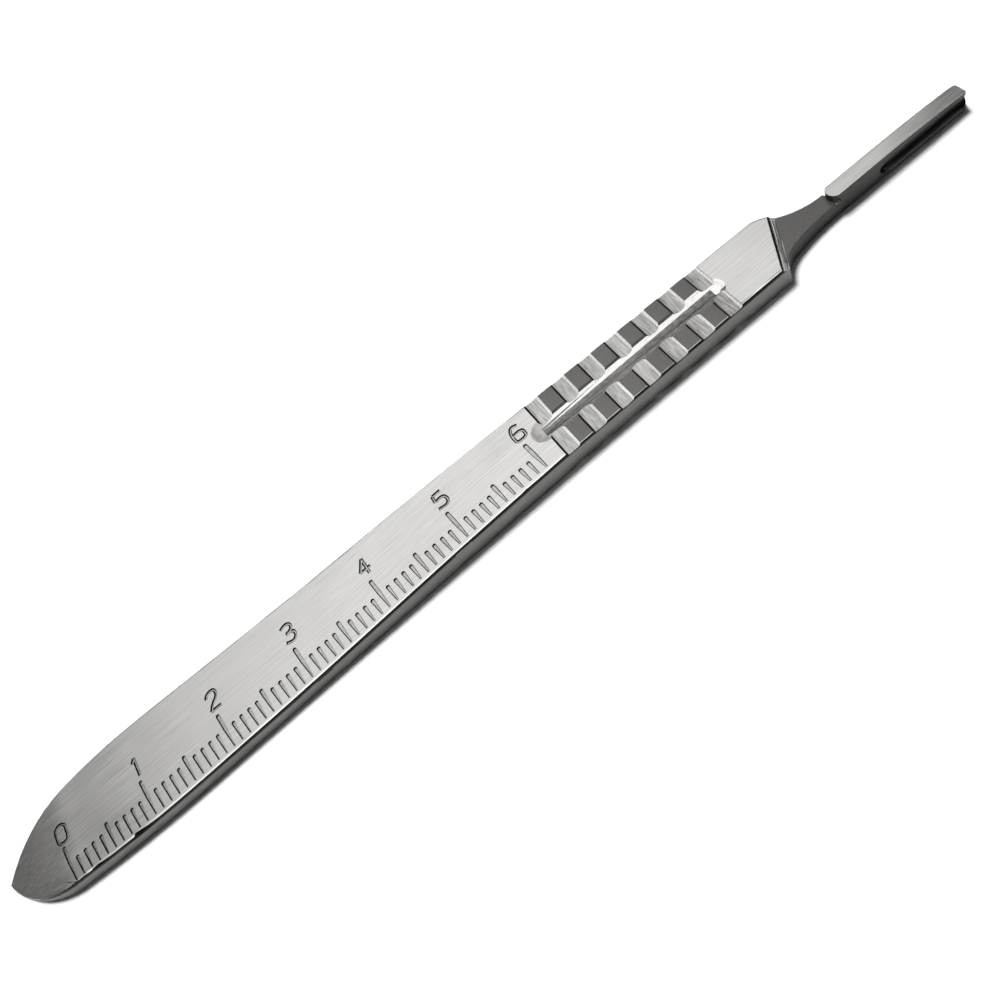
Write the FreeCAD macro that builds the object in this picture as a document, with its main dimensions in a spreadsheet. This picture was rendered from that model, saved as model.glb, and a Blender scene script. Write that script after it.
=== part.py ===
import FreeCAD, Part
import math
import os
import Sketcher

# A one-piece stainless steel scalpel handle of the number 3 kind, lying on its back face.
# Every body is drawn from the tip of the tail: X runs along the handle to the blade end,
# Y across it and Z up through it from the back face. The body's Placement then puts the
# handle's middle over the origin.

doc = FreeCAD.newDocument("scalpel_handle")
sheet = doc.addObject("Spreadsheet::Sheet", "sizes")

# Driving dimensions, in millimetres
dimensions = {
    # whole handle
    "overall_length": 122.15,
    "thickness": 2.75,
    "edge_round": 0.3,
    "back_round": 0.2,
    # tail in plan: stations are distances from its tip, outs are distances from the middle
    "tip_out": 0.4,
    "near_blend_station": 7.5,
    "near_blend_out": 5.1,
    "far_blend_station": 9.8,
    "far_blend_out": 4.82,
    "widest_station": 17.9,
    "widest_width": 10.85,
    "taper_station": 24.1,
    "taper_narrowing": 0.21,
    # tail from the side: a thin tip, then a level stretch, then a rise to full thickness
    "tip_thickness": 0.6,
    "tail_thickness": 1.95,
    "tail_dip_length": 9.4,
    "rise_length": 42.0,
    "rise_end_gap": 0.75,
    # grip: cross grooves and one long hollow, on both faces
    "grip_width": 7.72,
    "grip_end_gap": 5.71,
    "groove_count": 7,
    "groove_pitch": 3.35,
    "groove_width": 1.74,
    "groove_flank": 0.1,
    "groove_depth": 0.27,
    "groove_sag": 0.05,
    "pad_chamfer": 0.12,
    "pad_drop": 0.08,
    "hollow_width": 2.6,
    "hollow_depth": 0.44,
    "hollow_run_out_tail": 1.4,
    "hollow_run_out_blade": 0.5,
    # shoulder and neck: runs are measured back, each from the last, starting at the neck's end
    "shoulder_width": 6.9,
    "near_flare_run": 5.4,
    "near_flare_out": 1.55,
    "near_corner_run": 2.3,
    "far_flare_run": 5.0,
    "far_flare_out": 2.55,
    "far_corner_run": 1.7,
    "shoulder_setback": 0.9,
    "shoulder_slant": 3.8,
    "shoulder_ramp": 0.8,
    "ramp_radius": 1.3,
    "seat_drop": 0.6,
    "seat_fall": 0.2,
    # blade fitting
    "fitting_length": 16.75,
    "fitting_width": 1.8,
    "fitting_back_spare": 0.05,
    "crown_length": 11.35,
    "crown_drop": 0.42,
    "nose_slope_length": 0.4,
    "nose_slope_drop": 1.9,
    "nose_corner_length": 1.0,
    "nose_width": 0.6,
    "slot_length": 11.15,
    "slot_drop": 0.88,
    "slot_height": 1.2,
    "slot_web": 0.75,
    "relief_offset": 0.5,
    "relief_radius": 0.36,
    "relief_depth": 0.32,
    # engraved scale along the near edge of the front face
    "scale_station": 8.05,
    "scale_end_gap": 1.0,
    "scale_margin": 0.45,
    "scale_climb": 1.24,
    "mark_width": 0.44,
    "mark_top_ease": 0.025,
    "mark_foot": 0.16,
    "mark_depth": 0.16,
    "unit_top_out": 2.7,
    "unit_mark": 2.5,
    "mark_lean": 0.06,
    "five_mark_extra": 0.72,
    "ten_mark_extra": 1.8,
}
for row, (alias, number) in enumerate(dimensions.items(), start=1):
    sheet.set(f"A{row}", alias)
    sheet.set(f"B{row}", str(number))
    sheet.setAlias(f"B{row}", alias)
doc.recompute()


class Size:
    """A length worked out from the sheet, kept as a number and as the expression that binds it."""

    def __init__(self, number, text):
        self.number = float(number)
        self.text = str(text)

    def join(self, other, sign):
        other = other if isinstance(other, Size) else Size(other, other)
        number = {
            "+": lambda: self.number + other.number,
            "-": lambda: self.number - other.number,
            "*": lambda: self.number * other.number,
            "/": lambda: self.number / other.number,
        }[sign]()
        return Size(number, f"({self.text} {sign} {other.text})")

    def __add__(self, other):
        return self.join(other, "+")

    def __sub__(self, other):
        return self.join(other, "-")

    def __mul__(self, other):
        return self.join(other, "*")

    def __truediv__(self, other):
        return self.join(other, "/")

    def __neg__(self):
        return Size(0, 0) - self


def size(alias):
    return Size(sheet.get(alias), f"sizes.{alias}")


zero = Size(0, 0)
tiny = 1e-9
slack = 0.001


# Sketch helpers
def originPlane(body, role):
    return next(item for item in body.Origin.OriginFeatures if item.Role == role)


def newSketch(body, name, role):
    sketch = body.newObject("Sketcher::SketchObject", name)
    sketch.AttachmentSupport = (originPlane(body, role), [""])
    sketch.MapMode = "FlatFace"
    return sketch


def offset(sketch, x=zero, y=zero, z=zero, axis=None, slope=zero):
    """Move a sketch from its plane, and tilt it about an axis by a slope, as the sheet says."""
    if axis is not None:
        anyAngle = 1
        sketch.AttachmentOffset = FreeCAD.Placement(FreeCAD.Vector(), FreeCAD.Rotation(axis, anyAngle))
        sketch.setExpression("AttachmentOffset.Rotation.Angle", f"atan({slope.text})")
    for direction, place in (("x", x), ("y", y), ("z", z)):
        sketch.setExpression(f"AttachmentOffset.Base.{direction}", place.text)


def pin(sketch, curve, end, x, y):
    """Hold one end of a curve at a place that the sheet gives."""
    for kind, place in (("DistanceX", x), ("DistanceY", y)):
        if abs(place.number) < tiny:
            axis = -2 if kind == "DistanceX" else -1
            sketch.addConstraint(Sketcher.Constraint("PointOnObject", curve, end, axis))
            continue
        held = place if place.number > 0 else -place
        ends = (-1, 1, curve, end) if place.number > 0 else (curve, end, -1, 1)
        number = sketch.addConstraint(Sketcher.Constraint(kind, *ends, held.number))
        sketch.setExpression(f"Constraints[{number}]", held.text)


def holdRadius(sketch, curve, radius):
    held = sketch.addConstraint(Sketcher.Constraint("Radius", curve, radius.number))
    sketch.setExpression(f"Constraints[{held}]", radius.text)


def arcCurve(first, last, bulge):
    """Circular arc; a positive bulge stands out to the right of the way from first to last."""
    run = last - first
    chord = run.Length
    sag = abs(bulge)
    radius = (chord * chord / 4 + sag * sag) / (2 * sag)
    left = FreeCAD.Vector(-run.y, run.x, 0) / chord
    side = 1 if bulge > 0 else -1
    centre = (first + last) / 2 + left * (side * (radius - sag))
    start, stop = (first, last) if bulge > 0 else (last, first)
    angles = [math.atan2(p.y - centre.y, p.x - centre.x) for p in (start, stop)]
    circle = Part.Circle(centre, FreeCAD.Vector(0, 0, 1), radius)
    return Part.ArcOfCircle(circle, angles[0], angles[1])


def drawChain(sketch, corners, arcs):
    """Closed chain of lines and arcs through the corners.

    arcs gives, for the curves that are arcs, roughly how far each stands out (to the right of
    the way round) and what settles its radius: the next or last curve it runs smoothly into,
    the end where it runs level, or a radius from the sheet.
    """
    count = len(corners)
    points = [FreeCAD.Vector(x.number, y.number, 0) for x, y in corners]
    ends = []
    for index in range(count):
        first, last = points[index], points[(index + 1) % count]
        if index in arcs:
            sketch.addGeometry(arcCurve(first, last, arcs[index][0]), False)
            ends.append((1, 2) if arcs[index][0] > 0 else (2, 1))
        else:
            sketch.addGeometry(Part.LineSegment(first, last), False)
            ends.append((1, 2))
    for index in range(count):
        following = (index + 1) % count
        smooth = "next" in arcs.get(index, ()) or "last" in arcs.get(following, ())
        kind = "Tangent" if smooth else "Coincident"
        sketch.addConstraint(
            Sketcher.Constraint(kind, index, ends[index][1], following, ends[following][0])
        )
        pin(sketch, following, ends[following][0], *corners[following])
    for index, (bulge, rule) in arcs.items():
        if isinstance(rule, Size):
            holdRadius(sketch, index, rule)
        elif rule.startswith("level"):
            end = ends[index][0 if rule == "level at start" else 1]
            sketch.addConstraint(Sketcher.Constraint("Vertical", index, 3, index, end))


def takeAway(body, feature, before):
    """Rebuild, and stop if a cutting feature took no material."""
    doc.recompute()
    taken = before - body.Shape.Volume
    if taken < tiny:
        raise RuntimeError(f"{feature.Name} cut nothing")
    print(f"{feature.Name}: took {taken:.3f} cubic mm")


def cut(body, sketch, name, depth=None, reverse=False, both=False):
    """Pocket to a depth, or right through where none is given."""
    before = body.Shape.Volume
    pocket = body.newObject("PartDesign::Pocket", name)
    pocket.Profile = sketch
    pocket.Type = "ThroughAll" if depth is None else "Length"
    pocket.Midplane = both
    pocket.Reversed = reverse
    if depth is not None:
        pocket.setExpression("Length", depth.text)
    takeAway(body, pocket, before)
    return pocket


def repeat(body, feature, name, sketch, span, count):
    """Row of copies along the sketch's own X axis, the last one a span away from the first."""
    pattern = body.newObject("PartDesign::LinearPattern", name)
    pattern.Originals = [feature]
    pattern.Direction = (sketch, ["H_Axis"])
    pattern.setExpression("Length", span)
    pattern.setExpression("Occurrences", count)
    body.Tip = pattern
    doc.recompute()


# Places that more than one feature uses
overrun = Size(3, 3)
length = size("overall_length")
thickness = size("thickness")
half = {
    name: size(name) / 2
    for name in ("widest_width", "grip_width", "shoulder_width", "fitting_width", "nose_width",
                 "hollow_width", "mark_width")
}
half["taper_width"] = half["widest_width"] - size("taper_narrowing") / 2
neckEnd = length - size("fitting_length")
nearFlare = neckEnd - size("near_flare_run")
nearCorner = nearFlare - size("near_corner_run")
farFlare = neckEnd - size("far_flare_run")
farCorner = farFlare - size("far_corner_run")
grooveSpan = size("groove_pitch") * (size("groove_count") - 1)
gripEnd = nearCorner - size("grip_end_gap")
gripStart = gripEnd - size("groove_width") - grooveSpan
riseEnd = gripStart - size("rise_end_gap")
riseStart = riseEnd - size("rise_length")


def frontProfile(sketch, drop, closedAt):
    """Side view of the front face, or of one lower by drop, closed above or below it."""
    tip = size("tip_thickness") - drop
    tail = size("tail_thickness") - drop
    full = thickness - drop
    noseTop = length - size("nose_slope_length")
    crownEnd = full - size("crown_drop")
    noseLow = crownEnd - size("nose_slope_drop")
    corners = [
        (-overrun, closedAt),
        (-overrun, tip),
        (zero, tip),
        (size("tail_dip_length"), tail),
        (riseStart, tail),
        ((riseStart + riseEnd) / 2, (tail + full) / 2),
        (riseEnd, full),
        (noseTop - size("crown_length"), full),
        (noseTop, crownEnd),
        (length, noseLow),
        (length + overrun, noseLow),
        (length + overrun, closedAt),
    ]
    arcs = {
        2: (-0.4, "level at end"),
        4: (0.1, "level at start"),
        5: (-0.1, "level at end"),
        7: (-0.1, "level at start"),
    }
    drawChain(sketch, corners, arcs)


def outlineEdges(shape, lowest, nearEnd, farEnd):
    """Edges above a level that run along the outline, back from a station on each side."""
    names = []
    for number, edge in enumerate(shape.Edges, start=1):
        box = edge.BoundBox
        upright = box.ZLength > box.XLength + box.YLength
        end = nearEnd if box.Center.y < 0 else farEnd
        if not upright and box.ZMin >= lowest - slack and box.XMax <= end + slack:
            names.append(f"Edge{number}")
    return names


def roundEdges(body, name, edges, radius):
    base = body.Tip
    fillet = body.newObject("PartDesign::Fillet", name)
    fillet.Base = (base, edges)
    fillet.setExpression("Radius", radius.text)
    doc.recompute()
    return fillet


# The handle
handle = doc.addObject("PartDesign::Body", "scalpel_handle")
handle.Label = "scalpel_handle"

# Outline in plan, from the tip along the near side to the nose and back along the far side
outline = newSketch(handle, "outline", "XY_Plane")
noseBack = length - size("nose_corner_length")
outlineCorners = [
    (zero, size("tip_out")),
    (size("near_blend_station"), -size("near_blend_out")),
    (size("widest_station"), -half["widest_width"]),
    (size("taper_station"), -half["taper_width"]),
    (gripStart, -half["grip_width"]),
    (nearCorner, -half["shoulder_width"]),
    (nearFlare, -size("near_flare_out")),
    (neckEnd, -half["fitting_width"]),
    (noseBack, -half["fitting_width"]),
    (length, -half["nose_width"]),
    (length, half["nose_width"]),
    (noseBack, half["fitting_width"]),
    (neckEnd, half["fitting_width"]),
    (farFlare, size("far_flare_out")),
    (farCorner, half["shoulder_width"]),
    (gripStart, half["grip_width"]),
    (size("taper_station"), half["taper_width"]),
    (size("widest_station"), half["widest_width"]),
    (size("far_blend_station"), size("far_blend_out")),
]
outlineArcs = {
    0: (1.36, "next"),
    1: (0.08, "level at end"),
    2: (0.03, "level at start"),
    5: (-0.4, "next"),
    6: (-0.15, "level at end"),
    8: (0.16, "level at start"),
    10: (0.16, "level at end"),
    12: (-0.45, "level at start"),
    13: (0.1, "last"),
    16: (0.03, "level at end"),
    17: (0.15, "level at start"),
    18: (0.74, "last"),
}
drawChain(outline, outlineCorners, outlineArcs)
doc.recompute()

blank = handle.newObject("PartDesign::Pad", "blank")
blank.Profile = outline
blank.setExpression("Length", (thickness + overrun / 2).text)
doc.recompute()

# Front face: the tail thins and dips to its tip, the fitting is crowned down to its nose
frontSketch = newSketch(handle, "front_profile", "XZ_Plane")
frontProfile(frontSketch, zero, thickness + overrun)
cut(handle, frontSketch, "front_face", both=True)

# Long edges rounded where the hand holds it, up to the shoulder
frontLip = outlineEdges(
    handle.Shape,
    size("tip_thickness").number,
    nearCorner.number,
    farFlare.number,
)
roundEdges(handle, "front_round", frontLip, size("edge_round"))
backLip = [
    f"Edge{number}"
    for number, edge in enumerate(handle.Shape.Edges, start=1)
    if edge.BoundBox.ZMax < slack
]
roundEdges(handle, "back_round", backLip, size("back_round"))

# Seat for the blade: a slanted ramp down from the shoulder to a floor that falls to the fitting
shoulderMiddle = nearCorner - size("shoulder_setback") + size("shoulder_slant") / 2
seatStart = shoulderMiddle + size("shoulder_ramp")
seatLevel = thickness - size("seat_drop")
seatFall = size("seat_fall") / (neckEnd - seatStart)
shoulderSlope = size("shoulder_slant") / size("shoulder_width")
side = half["shoulder_width"] + overrun
backRadius = half["fitting_width"] + size("fitting_back_spare")
backEnd = neckEnd - seatStart + backRadius
seatSketch = newSketch(handle, "seat_plan", "XY_Plane")
offset(seatSketch, x=seatStart, z=seatLevel, axis=FreeCAD.Vector(0, 1, 0), slope=seatFall)
drawChain(
    seatSketch,
    [
        (-(shoulderSlope * side), -side),
        (backEnd, -side),
        (backEnd, -backRadius),
        (backEnd, backRadius),
        (backEnd, side),
        (shoulderSlope * side, side),
    ],
    {2: (-0.9, "level at start")},
)
cut(handle, seatSketch, "seat", depth=size("seat_drop") + size("seat_fall") + overrun, reverse=True)

rampSketch = newSketch(handle, "ramp_profile", "XZ_Plane")
offset(rampSketch, x=shoulderMiddle, z=zero, axis=FreeCAD.Vector(0, 1, 0), slope=-shoulderSlope)
rampRun = size("shoulder_ramp")
drawChain(
    rampSketch,
    [
        (zero, thickness),
        (rampRun, seatLevel),
        (rampRun + slack, thickness + overrun),
        (zero, thickness + overrun),
    ],
    {0: (0.08, size("ramp_radius"))},
)
cut(handle, rampSketch, "shoulder_ramp", both=True)

# Blade fitting: a slot along each side, open at the nose, and a small relief behind the rail
slotTop = thickness - size("slot_drop")
slotLow = slotTop - size("slot_height")
slotCentre = length - size("slot_length") + size("slot_height") / 2
reliefStation = neckEnd + size("relief_offset")
reliefHeight = seatLevel - size("seat_fall")
reliefWall = half["fitting_width"] - size("relief_depth")
for name, outward in (("near", -1), ("far", 1)):
    slotSketch = newSketch(handle, f"slot_{name}", "XZ_Plane")
    offset(slotSketch, z=size("slot_web") / 2 * -outward)
    drawChain(
        slotSketch,
        [
            (slotCentre, slotLow),
            (length + overrun, slotLow),
            (length + overrun, slotTop),
            (slotCentre, slotTop),
        ],
        {3: (0.6, "level at start")},
    )
    cut(handle, slotSketch, f"side_slot_{name}", reverse=outward < 0)

    reliefSketch = newSketch(handle, f"relief_{name}", "XZ_Plane")
    offset(reliefSketch, z=reliefWall * -outward)
    middle = FreeCAD.Vector(reliefStation.number, reliefHeight.number, 0)
    reliefSketch.addGeometry(
        Part.Circle(middle, FreeCAD.Vector(0, 0, 1), size("relief_radius").number), False
    )
    pin(reliefSketch, 0, 3, reliefStation, reliefHeight)
    holdRadius(reliefSketch, 0, size("relief_radius"))
    cut(handle, reliefSketch, f"rear_relief_{name}", reverse=outward < 0)

# Grip, the same on both faces: pads a little below the face, cross grooves and a long hollow
grooveMiddle = gripStart + size("groove_width") / 2
hollowDepth = size("hollow_depth")
hollowRadius = half["hollow_width"] * half["hollow_width"] / (hollowDepth * 2) + hollowDepth / 2
for name in ("front", "back"):

    def below(depth):
        return thickness - depth if name == "front" else zero + depth

    turn = -1 if name == "front" else 1
    padSketch = newSketch(handle, f"pad_level_{name}", "XZ_Plane")
    drawChain(
        padSketch,
        [
            (gripStart, below(size("pad_drop"))),
            (gripEnd, below(size("pad_drop"))),
            (gripEnd, below(-overrun)),
            (gripStart, below(-overrun)),
        ],
        {},
    )
    cut(handle, padSketch, f"pads_{name}", both=True)

    grooveSketch = newSketch(handle, f"groove_{name}", "XZ_Plane")
    lip = size("groove_width") / 2
    chamfer = size("pad_chamfer")
    floor = lip - chamfer - size("groove_flank")
    drawChain(
        grooveSketch,
        [
            (grooveMiddle - lip, below(-overrun)),
            (grooveMiddle - lip, below(size("pad_drop"))),
            (grooveMiddle - lip + chamfer, below(size("pad_drop") + chamfer)),
            (grooveMiddle - floor, below(size("groove_depth"))),
            (grooveMiddle, below(size("groove_depth") + size("groove_sag"))),
            (grooveMiddle + floor, below(size("groove_depth"))),
            (grooveMiddle + lip - chamfer, below(size("pad_drop") + chamfer)),
            (grooveMiddle + lip, below(size("pad_drop"))),
            (grooveMiddle + lip, below(-overrun)),
        ],
        {3: (-turn * 0.02, "level at end"), 4: (-turn * 0.02, "level at start")},
    )
    first = cut(handle, grooveSketch, f"groove_cut_{name}", both=True)
    repeat(handle, first, f"grooves_{name}", grooveSketch, grooveSpan.text, size("groove_count").text)

    hollowSketch = newSketch(handle, f"hollow_{name}", "XZ_Plane")
    offset(hollowSketch, y=below(hollowDepth - hollowRadius))
    hollowStart = gripStart - size("hollow_run_out_tail") + half["hollow_width"]
    hollowStop = gripEnd + size("hollow_run_out_blade") - half["hollow_width"]
    deep = hollowRadius * turn
    drawChain(
        hollowSketch,
        [
            (hollowStart - hollowRadius, zero),
            (hollowStart, deep),
            (hollowStop, deep),
            (hollowStop + hollowRadius, zero),
        ],
        {0: (-turn * 0.7, "level at end"), 2: (-turn * 0.7, "level at start")},
    )
    before = handle.Shape.Volume
    hollow = handle.newObject("PartDesign::Groove", f"long_hollow_{name}")
    hollow.Profile = hollowSketch
    hollow.ReferenceAxis = (hollowSketch, ["H_Axis"])
    hollow.Angle = 360
    takeAway(handle, hollow, before)

# Engraved scale: tapered marks as a cutter of their own, standing on a floor that follows
# the front face, because the face rises under them
marks = doc.addObject("PartDesign::Body", "scale_marks")
marks.Label = "scale_marks"
fiveStep = Size(5, 5)
tenStep = Size(10, 10)
room = gripStart - size("scale_station") - size("scale_end_gap")
tens = f"floor({(room / tenStep).text})"
tenSpan = f"{tens} * {tenStep.text}"
scaleSlope = size("scale_climb") / (gripStart - size("scale_station"))
topRadius = half["mark_width"] + size("mark_top_ease")


def markRow(name, start, foot, footWidth, top, span, count):
    """A row of leaning marks, each with straight sides from its foot up to a round top."""
    sketch = newSketch(marks, f"{name}_plan", "XY_Plane")
    offset(
        sketch,
        x=size("scale_station"),
        y=-size("unit_top_out"),
        axis=FreeCAD.Vector(0, 0, 1),
        slope=scaleSlope,
    )
    roundEnd = top - half["mark_width"]
    low, high = (
        start - size("mark_lean") * (level + size("unit_mark")) for level in (foot, roundEnd)
    )
    drawChain(
        sketch,
        [
            (low - footWidth / 2, foot),
            (low + footWidth / 2, foot),
            (high + half["mark_width"], roundEnd),
            (high - half["mark_width"], roundEnd),
        ],
        {2: (0.14, topRadius)},
    )
    pad = marks.newObject("PartDesign::Pad", name)
    pad.Profile = sketch
    pad.setExpression("Length", (thickness + overrun).text)
    doc.recompute()
    repeat(marks, pad, f"{name}s", sketch, span, count)


# Every millimetre has a unit mark; the numbered ones and those half way get a longer stem
stemFoot = -half["mark_width"]
stemWidth = size("mark_width")
fiveSpan = f"{tenSpan} - {tenStep.text}"
markRow("unit", zero, -size("unit_mark"), size("mark_foot"), zero, tenSpan, f"{tenSpan} + 1")
markRow("five", fiveStep, stemFoot, stemWidth, size("five_mark_extra"), fiveSpan, tens)
markRow("ten", zero, stemFoot, stemWidth, size("ten_mark_extra"), tenSpan, f"{tens} + 1")

# The marks end on a line inside the near edge
trimSketch = newSketch(marks, "mark_trim", "XY_Plane")
inside = size("scale_margin")
drawChain(
    trimSketch,
    [
        (-overrun, -half["widest_width"] - overrun),
        (length, -half["widest_width"] - overrun),
        (length, inside - half["grip_width"]),
        (gripStart, inside - half["grip_width"]),
        (size("taper_station"), inside - half["taper_width"]),
        (size("widest_station"), inside - half["widest_width"]),
        (-overrun, inside - half["widest_width"]),
    ],
    {},
)
cut(marks, trimSketch, "mark_trim_cut", both=True)
floorSketch = newSketch(marks, "mark_floor", "XZ_Plane")
frontProfile(floorSketch, size("mark_depth"), -overrun)
cut(marks, floorSketch, "mark_floor_cut", both=True)
before = handle.Shape.Volume
engraving = handle.newObject("PartDesign::Boolean", "engraved_scale")
engraving.setObjects([marks])
engraving.Type = "Cut"
handle.Tip = engraving
takeAway(handle, engraving, before)

# Placed so that the handle's middle stands over the origin
handle.setExpression("Placement.Base.x", (-(length / 2)).text)
doc.recompute()

# Checks and files
for item in doc.Objects:
    if "Invalid" in item.State or "Error" in item.State:
        raise RuntimeError(f"{item.Name} failed: {item.State}")
shape = handle.Shape
if shape.isNull() or not shape.isValid() or len(shape.Solids) != 1:
    raise RuntimeError(f"{handle.Label} is not one valid solid")
os.makedirs("parts", exist_ok=True)
shape.exportStep(f"parts/{handle.Label}.step")
box = shape.optimalBoundingBox(False, False)
print(f"{handle.Label}: {shape.Volume:.2f} cubic mm, {len(shape.Faces)} faces,",
      f"{box.XLength:.2f} x {box.YLength:.2f} x {box.ZLength:.2f}")
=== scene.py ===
import bpy
import math
import bmesh
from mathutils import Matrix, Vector
from mathutils.bvhtree import BVHTree


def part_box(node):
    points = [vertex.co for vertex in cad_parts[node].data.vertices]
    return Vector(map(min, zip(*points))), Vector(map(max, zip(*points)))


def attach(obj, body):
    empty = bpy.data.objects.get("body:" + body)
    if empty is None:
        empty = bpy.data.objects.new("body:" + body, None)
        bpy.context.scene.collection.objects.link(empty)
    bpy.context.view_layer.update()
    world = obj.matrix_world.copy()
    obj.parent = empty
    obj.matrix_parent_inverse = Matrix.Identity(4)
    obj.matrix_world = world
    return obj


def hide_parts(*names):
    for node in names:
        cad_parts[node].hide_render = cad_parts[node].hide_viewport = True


# A steel scalpel handle lying on its back on a white floor. X runs along it to the blade end,
# Y across it away from the scale, Z up out of its front face. Blender's lengths are metres; the
# sizes in the dictionaries below are in mm unless they say otherwise.
mm = 0.001

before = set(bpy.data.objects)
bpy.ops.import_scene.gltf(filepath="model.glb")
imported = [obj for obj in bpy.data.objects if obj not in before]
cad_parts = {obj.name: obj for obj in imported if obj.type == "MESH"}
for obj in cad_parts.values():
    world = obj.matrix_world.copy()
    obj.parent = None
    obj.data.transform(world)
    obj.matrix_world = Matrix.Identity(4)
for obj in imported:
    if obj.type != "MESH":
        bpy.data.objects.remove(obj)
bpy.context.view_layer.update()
lowest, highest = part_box("scalpel_handle")
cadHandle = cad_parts["scalpel_handle"]


# Small helpers
def station(distance):  # place along the handle, from a distance in mm from the tip of its tail
    return lowest.x + distance * mm


def select(*objects):
    bpy.ops.object.select_all(action="DESELECT")
    for item in objects:
        item.select_set(True)
    bpy.context.view_layer.objects.active = objects[0]


def linear(hexCode):  # colour of a material, from the sRGB code that a picture of it would show
    parts = [int(hexCode[at:at + 2], 16) / 255 for at in (1, 3, 5)]
    return [p / 12.92 if p <= 0.04045 else ((p + 0.055) / 1.055) ** 2.4 for p in parts] + [1]


def addNode(tree, kind, values=None, **settings):
    node = tree.nodes.new(kind)
    for name, value in settings.items():
        setattr(node, name, value)
    for name, value in (values or {}).items():
        node.inputs[name].default_value = value
    return node


# What a user would change about each finish of the steel: colour, gloss, and the marks the tools left.
# The grain is a noise drawn out along one axis, and "streak" says how long, how wide and how high its
# streaks are. Real ones are finer than a pixel, so these are as coarse as they need to be to show. A
# finish with "metal" below 1 also takes light from the sun, which whitens it as painted light. Some
# finishes are the same steel painted lighter or darker where light or shade falls: painted highlight,
# painted shade and painted light.
finishes = {
    "ground face": {  # belt ground lengthwise: fine pale streaks and a soft mirror of the lights
        "dark": "#C2C1BE", "light": "#EAE9E6", "roughness": (0.27, 0.4),
        "streak": (7, 0.14, 0.14), "depth": 0.0022, "edge": 0.05,
    },
    "painted shade": {  # steep walls, bevels and rims: nearly black, painted shade
        "dark": "#151514", "light": "#2C2C2B", "roughness": (0.3, 0.4),
        "streak": (3, 0.1, 0.1), "depth": 0.002, "edge": 0.04,
    },
    "satin side": {  # side walls with a short grain: an even mid grey
        "dark": "#6E6D6B", "light": "#868583", "roughness": (0.42, 0.55),
        "streak": (1.2, 0.14, 0.14), "depth": 0.006, "edge": 0.05,
    },
    "fitting side in painted shade": {  # walls of the blade fitting: the same, darker, as painted shade
        "dark": "#3C3B3A", "light": "#545352", "roughness": (0.42, 0.55),
        "streak": (0.8, 0.14, 0.14), "depth": 0.006, "edge": 0.05,
    },
    "blasted satin": {  # pads and seat: flat grey with a fine round grain
        "dark": "#6D6C6A", "light": "#858482", "roughness": (0.42, 0.55),
        "streak": (0.16, 0.16, 0.16), "depth": 0.006, "edge": 0.05,
    },
    "milled groove": {  # cut across the grip: bright, with streaks across the handle
        "dark": "#73726F", "light": "#D8D7D4", "roughness": (0.26, 0.4),
        "streak": (0.16, 1.6, 0.16), "depth": 0.01, "edge": 0.04,
    },
    "milled hollow": {  # floor of the long hollow: mottled grey
        "dark": "#4D4C4B", "light": "#979694", "roughness": (0.26, 0.4),
        "streak": (0.45, 0.2, 0.2), "depth": 0.01, "edge": 0.04,
    },
    "hollow side in painted light": {  # far side of the hollow: a dull grey, lightened by the sun as painted light
        "dark": "#5C5B59", "light": "#8E8D8B", "roughness": (0.4, 0.55),
        "streak": (0.45, 0.2, 0.2), "depth": 0.01, "edge": 0.04, "metal": 0.4,
    },
    "hollow end in painted light": {  # where the hollow runs out before the first groove: pale, lightened by the sun as painted light
        "dark": "#8A8986", "light": "#C0BFBC", "roughness": (0.4, 0.55),
        "streak": (0.45, 0.2, 0.2), "depth": 0.01, "edge": 0.04, "metal": 0.4,
    },
    "painted highlight": {  # bevels: white lines of painted highlight, whitened further by the sun
        "dark": "#DAD9D6", "light": "#F2F1EE", "roughness": (0.24, 0.34),
        "streak": (0.8, 0.2, 0.2), "depth": 0.004, "edge": 0.03, "metal": 0.2,
    },
    "cut mark": {  # engraved floors: as pale as the face, a little rougher
        "dark": "#8E8D8A", "light": "#DCDBD7", "roughness": (0.25, 0.42),
        "streak": (0.14, 0.3, 0.14), "depth": 0.012, "edge": 0.03,
    },
    "plain back": {  # ground like the face, duller
        "dark": "#A5A4A1", "light": "#C2C1BE", "roughness": (0.3, 0.42),
        "streak": (7, 0.16, 0.16), "depth": 0.003, "edge": 0.05,
    },
}
grainUse = {"weakest": 0.3, "strongest": 0.7, "patch": 6, "patch share": 0.3}


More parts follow.
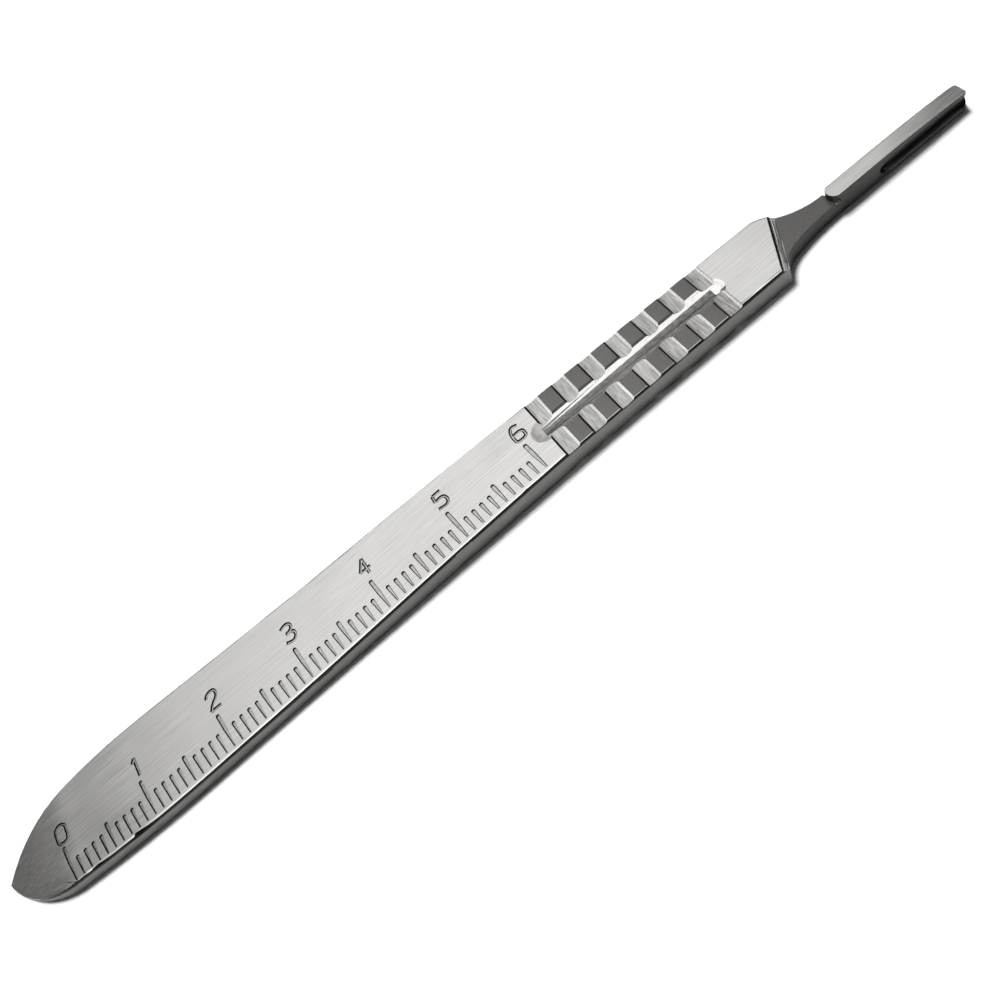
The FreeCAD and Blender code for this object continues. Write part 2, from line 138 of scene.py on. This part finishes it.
# Steel with one of the finishes, all from noise in the handle's own coordinates
def steel(name, look):
    material = bpy.data.materials.new(name)
    material.use_nodes = True
    tree = material.node_tree
    surface = tree.nodes["Principled BSDF"]
    surface.inputs["Metallic"].default_value = look.get("metal", 1)
    place = addNode(tree, "ShaderNodeTexCoord")
    stretch = addNode(
        tree, "ShaderNodeMapping", {"Scale": [1 / (length * mm) for length in look["streak"]]}
    )
    grain = addNode(tree, "ShaderNodeTexNoise", {"Scale": 1, "Detail": 3, "Roughness": 0.55})
    patches = addNode(tree, "ShaderNodeTexNoise", {"Scale": 1 / (grainUse["patch"] * mm), "Detail": 2})
    colours = addNode(tree, "ShaderNodeValToRGB")
    ends = ((grainUse["weakest"], look["dark"]), (grainUse["strongest"], look["light"]))
    for end, (position, colour) in zip(colours.color_ramp.elements, ends):
        end.position = position
        end.color = linear(colour)
    both = addNode(tree, "ShaderNodeMix", {"Factor": grainUse["patch share"]})
    smoothest, roughest = look["roughness"]
    gloss = addNode(
        tree, "ShaderNodeMapRange",
        {"From Min": grainUse["weakest"], "From Max": grainUse["strongest"],
         "To Min": smoothest, "To Max": roughest},
    )
    soft = addNode(tree, "ShaderNodeBevel", {"Radius": look["edge"] * mm}, samples=4)
    bump = addNode(tree, "ShaderNodeBump", {"Strength": 1, "Distance": look["depth"] * mm})
    for start, end in (
        (place.outputs["Object"], stretch.inputs["Vector"]),
        (stretch.outputs["Vector"], grain.inputs["Vector"]),
        (place.outputs["Object"], patches.inputs["Vector"]),
        (grain.outputs["Fac"], both.inputs["A"]),
        (patches.outputs["Fac"], both.inputs["B"]),
        (both.outputs["Result"], colours.inputs["Fac"]),
        (both.outputs["Result"], gloss.inputs["Value"]),
        (grain.outputs["Fac"], bump.inputs["Height"]),
        (soft.outputs["Normal"], bump.inputs["Normal"]),
        (colours.outputs["Color"], surface.inputs["Base Color"]),
        (gloss.outputs["Result"], surface.inputs["Roughness"]),
        (bump.outputs["Normal"], surface.inputs["Normal"]),
    ):
        tree.links.new(start, end)
    return material


# The handle: a copy of the CAD solid with its loose triangles joined
joining = {"merge": 0.001, "sliver": 0.002, "flat within": 0.1}  # the last in degrees
select(cadHandle)
bpy.ops.object.duplicate()
handle = bpy.context.active_object
handle.name = "handle"
handle.parent = None
for key in list(handle.keys()):
    del handle[key]
handle.data.materials.clear()
slots = {}
for name, look in finishes.items():
    slots[name] = len(handle.data.materials)
    handle.data.materials.append(steel(name, look))
bpy.ops.object.mode_set(mode="EDIT")
bpy.ops.mesh.select_all(action="SELECT")
bpy.ops.mesh.remove_doubles(threshold=joining["merge"] * mm)
bpy.ops.mesh.dissolve_degenerate(threshold=joining["sliver"] * mm)
bpy.ops.mesh.dissolve_limited(angle_limit=math.radians(joining["flat within"]))
bpy.ops.object.mode_set(mode="OBJECT")
print("handle:", len(handle.data.polygons), "faces")

# Numerals of the scale, 0 to 6, engraved with a round tool. Across is measured from the middle
# line. Each stroke runs through points of a box one wide and one high.
numerals = {
    "first station": 8.0,
    "spacing": 10,
    "across": (0.36, 0.78, 1.1, 1.4, 1.52, 1.65, 1.78),
    "height": (2.0, 2.1, 2.0, 2.0, 1.95, 1.85, 1.9),
    "width": 1.3,
    "tool radius": 0.2,
    "tool lift": 0.06,
}
ring = ((0.5, 0), (0.5, 0.4), (0, 0.52), (-0.5, 0.4), (-0.5, 0), (-0.5, -0.4), (0, -0.52), (0.5, -0.4))
strokes = (
    (ring,),
    (((-0.3, 0.28), (0, 0.5)), ((0, 0.5), (0, -0.5))),
    (((-0.45, 0.25), (-0.4, 0.5), (0.45, 0.55), (0.5, 0.1), (-0.2, -0.2), (-0.45, -0.5)),
     ((-0.45, -0.5), (0.5, -0.5))),
    (((-0.45, 0.42), (0.1, 0.6), (0.55, 0.35), (0.3, 0.04), (-0.12, 0.04)),
     ((-0.2, 0.01), (0.4, 0.05), (0.6, -0.3), (0.1, -0.6), (-0.48, -0.4))),
    (((0.15, 0.5), (-0.48, -0.18)), ((-0.48, -0.18), (0.5, -0.18)), ((0.15, 0.5), (0.15, -0.5))),
    (((0.42, 0.5), (-0.35, 0.5)), ((-0.35, 0.5), (-0.4, 0.05)),
     ((-0.4, 0.05), (0.3, 0.2), (0.6, -0.2), (0.3, -0.58), (-0.48, -0.42))),
    (((0.35, 0.42), (-0.1, 0.62), (-0.5, 0.2), (-0.48, -0.2)),
     tuple((0.95 * across, 0.55 * up - 0.22) for across, up in ring)),  # the loop, a smaller ring
)
face = BVHTree.FromObject(handle, bpy.context.evaluated_depsgraph_get())
down = Vector((0, 0, -1))


# Take the round groove that a tool leaves along a smooth line of points on the face
def cutStroke(points, closed, place):
    line = bpy.data.curves.new("stroke", "CURVE")
    line.dimensions = "3D"
    spline = line.splines.new("NURBS")
    spline.points.add(len(points) - 1)
    for point, (across, up) in zip(spline.points, points):
        point.co = [*place(across, up), 1]
    spline.order_u = 3
    spline.use_endpoint_u = not closed
    spline.use_cyclic_u = closed
    line.resolution_u = 6
    line.bevel_depth = numerals["tool radius"] * mm
    line.bevel_resolution = 3
    line.use_fill_caps = True
    tool = bpy.data.objects.new("stroke", line)
    bpy.context.collection.objects.link(tool)
    select(tool)
    bpy.ops.object.convert(target="MESH")
    tool = bpy.context.active_object
    bpy.ops.object.mode_set(mode="EDIT")
    bpy.ops.mesh.select_all(action="SELECT")
    bpy.ops.mesh.remove_doubles(threshold=joining["merge"] * mm)
    bpy.ops.mesh.normals_make_consistent(inside=False)
    bpy.ops.object.mode_set(mode="OBJECT")
    tool.data.materials.clear()
    tool.data.materials.append(handle.data.materials["cut mark"])
    select(handle)
    cutting = handle.modifiers.new("stroke", "BOOLEAN")
    cutting.operation = "DIFFERENCE"
    cutting.solver = "EXACT"
    cutting.material_mode = "TRANSFER"
    cutting.object = tool
    bpy.ops.object.modifier_apply(modifier=cutting.name)
    bpy.data.objects.remove(tool)


for digit, lines in enumerate(strokes):
    x = station(numerals["first station"] + numerals["spacing"] * digit)
    y = numerals["across"][digit] * mm
    height = numerals["height"][digit]
    ground, normal, _, _ = face.ray_cast(Vector((x, y, highest.z + mm)), down)
    turn = Vector((0, 0, 1)).rotation_difference(normal)

    def place(across, up):
        flat = Vector((across * numerals["width"], up * height, numerals["tool lift"])) * mm
        return ground + turn @ flat

    for points in lines:
        cutStroke(points, len(points) == len(ring), place)
print("numerals cut:", len(handle.data.polygons), "faces")

# The front face from the side, as arcs: the station where each lies level, the station where it
# ends, how far it climbs to there, and its height where it lies level
tailHeight, gripHeight, midRise = 1.95, 2.75, 48.4
profile = (
    (9.4, 0, -1.35, tailHeight),
    (27.4, midRise, 0.4, tailHeight),
    (69.4, midRise, -0.4, gripHeight),
    (110.4, 121.75, -0.42, gripHeight),
)


def frontFace(x):  # height in mm and slope of the front face at a station
    for level, end, climb, height in profile:
        along, run = x - level, end - level
        if 0 < along / run <= 1:
            radius = (run * run + climb * climb) / (2 * abs(climb))
            rest = math.sqrt(radius * radius - along * along)
            slope = math.copysign(along, climb * along) / rest
            return height + math.copysign(radius - rest, climb), slope
    return (tailHeight if x < midRise else gripHeight), 0


def faceNormal(place):  # which way the front face looks above a place
    return Vector((-frontFace((place.x - lowest.x) / mm)[1], 0, 1)).normalized()


# Cuts across the handle keep the shading even along its curves. Cuts along it, at two drops below the
# front face, part the lip of the rounding, which keeps the face's finish, and the band below it,
# painted dark as shade, from the side. They follow the curves in short steps, and along the level
# stretches the band is one long cut.
cuts = {
    "across": [*range(2, 70, 2), *range(104, 122, 2)],
    "reach": 30,
    "lip": {"drop": 0.09, "to": 18, "step": 3},
    "band": {"drop": 0.5, "to": 98, "step": 3, "slack": 0.04},
    "merge": 0.0001,
    "painted shade rim": 0.07,
}


# Split the faces whose middle lies between two stations along a plane
def cutFaces(solid, place, normal, first=-math.inf, last=math.inf):
    inside = [f for f in solid.faces if first <= (f.calc_center_median().x - lowest.x) / mm <= last]
    parts = {part for f in inside for part in (f, *f.edges, *f.verts)}
    bmesh.ops.bisect_plane(
        solid, geom=list(parts), dist=cuts["merge"] * mm, plane_co=place, plane_no=normal
    )


solid = bmesh.new()
solid.from_mesh(handle.data)
for distance in cuts["across"]:
    reach = (distance - cuts["reach"], distance + cuts["reach"])
    cutFaces(solid, (station(distance), 0, 0), (1, 0, 0), *reach)
for line in (cuts["lip"], cuts["band"]):
    for first in range(0, line["to"], line["step"]):
        last = first + line["step"]
        low, high = (frontFace(x)[0] - line["drop"] for x in (first, last))
        slope = (high - low) / (last - first)
        cutFaces(solid, (station(first), 0, low * mm), (-slope, 0, 1), first, last)
for height in (tailHeight, gripHeight):
    cutFaces(solid, (0, 0, (height - cuts["band"]["drop"]) * mm), (0, 0, 1))
solid.to_mesh(handle.data)
solid.free()

# Each face gets its finish from where it lies, by stations, widths and drops below the top, and from
# which way it looks, by limits of its unit normal; by these, faces turned to the lamps get painted
# highlight and faces turned from them painted shade
zones = {
    "grip": {"from": 70.1, "to": 92.03, "pad drop": 0.09, "drop": 0.49},
    "hollow": {
        "from": 68.7, "to": 92.5, "half width": 1.3, "depth": 0.44, "near": 0.03,
        "run out drop": 0.01, "lap": 1, "end to": 71, "bright from": 88.6,
    },
    "seat": {"from": 96.6, "to": 106.1, "drop": 0.02, "side from": 98.2},
    "scale": {"from": 7.6, "to": 68.7, "across": 0.5, "mark depth": (0.04, 0.25), "past a mark": 0.5},
    "slot": {"from": 110.4, "inside": 0.82, "drop": (0.86, 2.1)},
    "nose": 120.8,
}
leans = {
    "back": -0.9, "underside": -0.5, "up": 0.1, "end on": 0.9, "face": 0.78, "lip": 0.5, "nose": 0.2,
    "pad bevel": {"up": 0.6, "bright": 0.3, "dark": 0.35},
    "hollow": {"bright": (-0.45, -0.2), "far": 0.2},
    "ramp": {"pale": 0.2, "dark": 0.62},
    "mark floor": 0.88, "numeral floor": 0.97, "groove floor": 0.9,
}


# Height of the front face or its rounding at a place, past the marks cut into it
def frontLevel(x, y):
    aside = zones["scale"]["past a mark"] * mm
    starts = [Vector((x + shift, y, highest.z + mm)) for shift in (-aside, 0, aside)]
    hits = [face.ray_cast(start, down)[0] for start in starts]
    return max((hit.z for hit in hits if hit), default=0)


# On the grip, bevels turned to the lamps are painted highlight and steep flanks are painted shade
def gripFinish(centre, normal, drop):
    bevel = leans["pad bevel"]
    lit = normal.x < -bevel["bright"] or (normal.y < -bevel["bright"] and centre.y < 0)
    if normal.z > bevel["up"] and lit:
        return "painted highlight"
    if abs(normal.x) > bevel["dark"] or abs(normal.y) > bevel["dark"]:
        return "painted shade"
    return "blasted satin" if drop < zones["grip"]["pad drop"] else "milled groove"


# In the hollow, a band of its wall is painted highlight, its steepest wall painted shade, and its
# run-out end and one side painted light
def hollowFinish(x, normal):
    hollow, far = zones["hollow"], leans["hollow"]["far"]
    steepest, least = leans["hollow"]["bright"]
    if x < hollow["end to"]:
        return "hollow end in painted light"
    if steepest < normal.y < least or (x > hollow["bright from"] and normal.y < far):
        return "painted highlight"
    if normal.y < steepest:
        return "fitting side in painted shade"
    return "hollow side in painted light" if normal.y > far else "milled hollow"


# The side below the front face: the lip keeps the face's finish, a band under it is painted shade, the
# rest is satin
def sideFinish(x, z, normal):
    below = frontFace(x)[0] - z
    if below < cuts["lip"]["drop"] and normal.z > leans["lip"]:
        return "ground face"
    return "painted shade" if below < cuts["band"]["drop"] + cuts["band"]["slack"] else "satin side"


def finishOf(centre, normal):
    x = (centre.x - lowest.x) / mm
    y = abs(centre.y) / mm
    drop = (highest.z - centre.z) / mm
    grip, hollow, seat, slot = (zones[name] for name in ("grip", "hollow", "seat", "slot"))
    half, deep = hollow["half width"], hollow["depth"]
    radius = (half * half / deep + deep) / 2
    up = normal.z > leans["up"]
    if normal.z < leans["back"]:
        return "plain back"
    if hollow["from"] < x < hollow["to"] and y < half:
        onHollow = abs(math.hypot(y, radius - deep + drop) - radius) < hollow["near"]
        pastGrip = not grip["from"] < x < grip["to"] - hollow["lap"]
        low = hollow["run out drop"] < drop < deep
        if onHollow or (pastGrip and low and abs(normal.x) < leans["end on"]):
            return hollowFinish(x, normal)
    if grip["from"] < x < grip["to"] and drop < grip["drop"] and up:
        return gripFinish(centre, normal, drop)
    if seat["from"] < x < seat["to"] and drop > seat["drop"] and up:
        # The steep part of the seat's ramp is painted shade
        if normal.x > leans["ramp"]["pale"]:
            return "painted shade" if normal.x > leans["ramp"]["dark"] else "ground face"
        return "blasted satin"
    # Inside the blade slot: painted shade
    if x > slot["from"] and y < slot["inside"] and slot["drop"][0] < drop < slot["drop"][1]:
        return "painted shade"
    # The nose's end faces: painted shade
    if x > zones["nose"] and abs(normal.x) > leans["nose"]:
        return "painted shade"
    if normal.dot(faceNormal(centre)) > leans["face"]:
        return "ground face"
    # Walls of the fitting are painted shade; other side walls go by sideFinish
    return "fitting side in painted shade" if x > seat["side from"] else sideFinish(x, centre.z / mm, normal)


floors = []
scale = zones["scale"]
for polygon in handle.data.polygons:
    centre, normal = polygon.center, polygon.normal
    # Walls of the engraved numerals and marks are painted shade; their floors keep the pale cut finish
    if polygon.material_index == slots["cut mark"]:
        name = "cut mark" if normal.z > leans["numeral floor"] else "painted shade"
    else:
        name = finishOf(centre, normal)
        along = scale["from"] < (centre.x - lowest.x) / mm < scale["to"]
        if along and centre.y < scale["across"] * mm and normal.z > leans["underside"]:
            below = (frontLevel(centre.x, centre.y) - centre.z) / mm
            if scale["mark depth"][0] < below < scale["mark depth"][1]:
                name = "cut mark" if normal.z > leans["mark floor"] else "painted shade"
                if name == "cut mark":
                    floors.append(polygon.index)
    polygon.material_index = slots[name]

# A flat rim inset round each mark's floor is painted dark as shade along its walls
solid = bmesh.new()
solid.from_mesh(handle.data)
solid.faces.ensure_lookup_table()
shadeRims = bmesh.ops.inset_region(
    solid, faces=[solid.faces[index] for index in floors], thickness=cuts["painted shade rim"] * mm,
    use_boundary=True, use_even_offset=True,
)["faces"]
for rim in shadeRims:
    rim.material_index = slots["painted shade"]
solid.to_mesh(handle.data)
solid.free()
print("rims of the marks:", len(shadeRims), "faces")

# Even shading: front faces within a few degrees of the true profile take its normals, and the
# floors of the grip's grooves stay flat
shading = {"smooth up to": 24, "on the profile": 12}  # in degrees
onProfile = math.cos(math.radians(shading["on the profile"]))
select(handle)
bpy.ops.object.shade_smooth_by_angle(angle=math.radians(shading["smooth up to"]))
weights = handle.modifiers.new("even shading", "WEIGHTED_NORMAL")
weights.keep_sharp = True
bpy.ops.object.modifier_apply(modifier=weights.name)
mesh = handle.data
normals = [corner.vector.copy() for corner in mesh.corner_normals]
for polygon in mesh.polygons:
    onFront = polygon.material_index in (slots["ground face"], slots["cut mark"])
    if onFront and polygon.normal.dot(faceNormal(polygon.center)) > onProfile:
        for corner in polygon.loop_indices:
            normals[corner] = faceNormal(mesh.vertices[mesh.loops[corner].vertex_index].co)
    elif polygon.material_index == slots["milled groove"] and polygon.normal.z > leans["groove floor"]:
        for corner in polygon.loop_indices:
            normals[corner] = polygon.normal.copy()
mesh.normals_split_custom_set(normals)
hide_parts("scalpel_handle")
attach(handle, "root")
print("finishes set")

# White floor, well past the edges of the picture so that the steel reflects it to the horizon
paper = {"colour": "#F4F4F4", "roughness": 0.9, "gap": 0.01, "across": 20}  # the last in metres
bpy.ops.mesh.primitive_plane_add(size=paper["across"], location=(0, 0, lowest.z - paper["gap"] * mm))
floor = bpy.context.active_object
floor.name = "floor"
whitePaper = bpy.data.materials.new("white paper")
whitePaper.use_nodes = True
sheet = whitePaper.node_tree.nodes["Principled BSDF"]
sheet.inputs["Base Color"].default_value = linear(paper["colour"])
sheet.inputs["Roughness"].default_value = paper["roughness"]
floor.data.materials.append(whitePaper)
print("floor laid")

# Softboxes that the steel mirrors, each given by the corners of its box and its height in metres,
# and how bright it looks
softboxes = {
    "overhead softbox": {"from": (-0.38, -0.05), "to": (0.43, 0.75), "height": 0.6, "bright": 1.07},
    "front lamp": {"from": (-0.5, -1.0), "to": (0.5, -0.08), "height": 0.6, "bright": 1.9},
}
for name, box in softboxes.items():
    width, depth = (box["to"][axis] - box["from"][axis] for axis in range(2))
    centre = (box["from"][0] + width / 2, box["from"][1] + depth / 2, box["height"])
    bpy.ops.object.light_add(type="AREA", location=centre)
    lamp = bpy.context.active_object
    lamp.name = name
    lamp.data.shape = "RECTANGLE"
    lamp.data.size, lamp.data.size_y = width, depth
    lamp.data.energy = box["bright"] * math.pi * width * depth
    lamp.visible_diffuse = False

# A wide sun that the steel doesn't mirror: it lights the floor and the finishes that are less
# than all metal, and throws the shadow. Its angle is in degrees.
sunlight = {"from": Vector((-0.08, 0.27, 0.96)), "energy": 3.85, "angle": 17}
bpy.ops.object.light_add(type="SUN", location=sunlight["from"])
sun = bpy.context.active_object
sun.name = "soft sun"
sun.rotation_euler = sunlight["from"].to_track_quat("Z", "Y").to_euler()
sun.data.energy = sunlight["energy"]
sun.data.angle = math.radians(sunlight["angle"])
sun.visible_glossy = False

# The room: grey behind the handle, dark on the camera's side
room = {"front": 0.02, "back": 0.12, "blend": (-0.2, 0.3)}
world = bpy.data.worlds.new("studio")
bpy.context.scene.world = world
world.use_nodes = True
tree = world.node_tree
sky = tree.nodes["Background"]
direction = addNode(tree, "ShaderNodeTexCoord")
split = addNode(tree, "ShaderNodeSeparateXYZ")
shade = addNode(
    tree, "ShaderNodeMapRange",
    {"From Min": room["blend"][0], "From Max": room["blend"][1],
     "To Min": room["front"], "To Max": room["back"]},
)
tree.links.new(direction.outputs["Generated"], split.inputs["Vector"])
tree.links.new(split.outputs["Y"], shade.inputs["Value"])
tree.links.new(shade.outputs["Result"], sky.inputs["Strength"])
sky.inputs["Color"].default_value = linear("#FFFFFF")
print("lights set")

# Camera, as the photograph was taken: close, above the near edge, turned to run the handle
# from lower left to upper right. Its turn is in degrees.
shot = {
    "place": (3.572, -56.252, 81.594), "turn": (26.83047, 21.81141, -34.08647),
    "lens": 36, "sensor": 36, "nearest": 1,
}
bpy.ops.object.camera_add(location=[place * mm for place in shot["place"]])
camera = bpy.context.active_object
camera.rotation_euler = [math.radians(angle) for angle in shot["turn"]]
camera.data.lens = shot["lens"]
camera.data.sensor_width = shot["sensor"]
camera.data.clip_start = shot["nearest"] * mm
bpy.context.scene.camera = camera
bpy.context.scene.view_settings.view_transform = "Standard"
